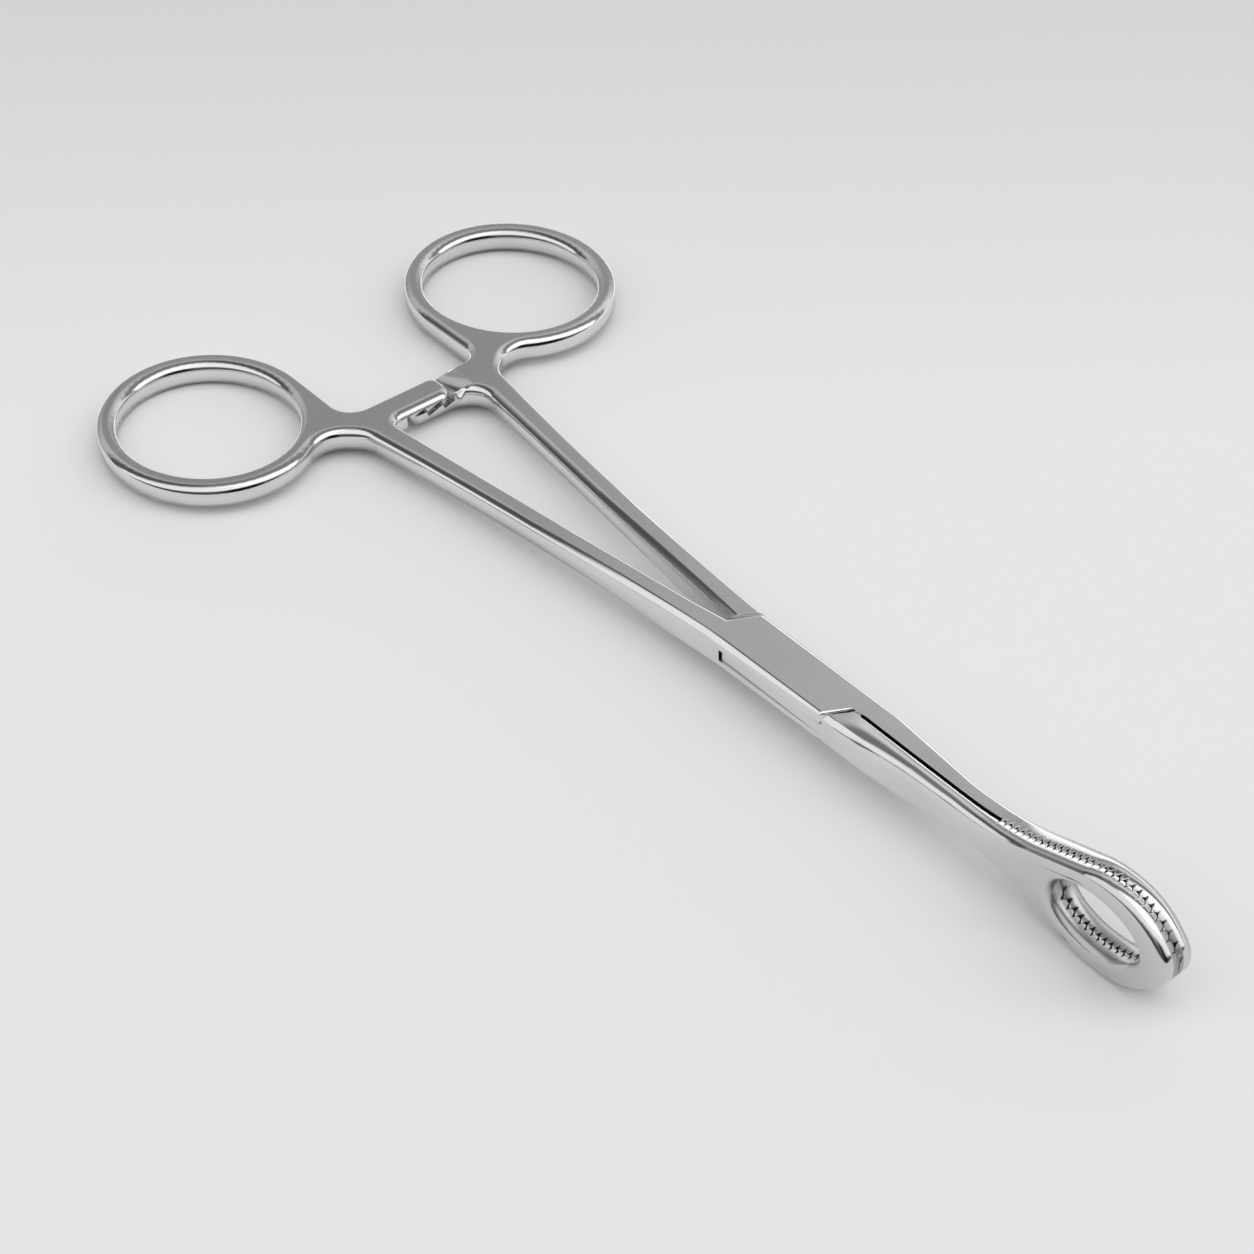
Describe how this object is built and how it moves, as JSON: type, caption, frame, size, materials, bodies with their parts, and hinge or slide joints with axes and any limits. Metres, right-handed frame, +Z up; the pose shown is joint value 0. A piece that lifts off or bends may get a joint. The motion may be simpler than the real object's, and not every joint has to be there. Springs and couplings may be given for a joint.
{
  "type": "sponge forceps",
  "caption": "Straight ring-handled sponge forceps with oval fenestrated serrated jaws, a riveted box lock and a ratchet between the shanks.",
  "frame": {"origin": "centre of the footprint of the closed forceps lying flat, at the level of the surface it lies on", "axes": "+X from the finger rings to the jaw tips, +Y to the side of the male half's ring, +Z up, away from the surface"},
  "size_m": [0.18, 0.0862, 0.014],
  "materials": {
    "half_steel": "satin",
    "pin_steel": "satin"
  },
  "bodies": {
    "female": {"female_half": "half_steel", "pivot_pin": "pin_steel"},
    "male": {"male_half": "half_steel"}
  },
  "joints": [
    {"name": "box_lock", "type": "hinge", "parent": "female", "child": "male", "pos_m": [0.0233, 0, 0.00539], "axis": [0.0287, 0, -0.9996], "range_deg": [0, 25]}
  ]
}
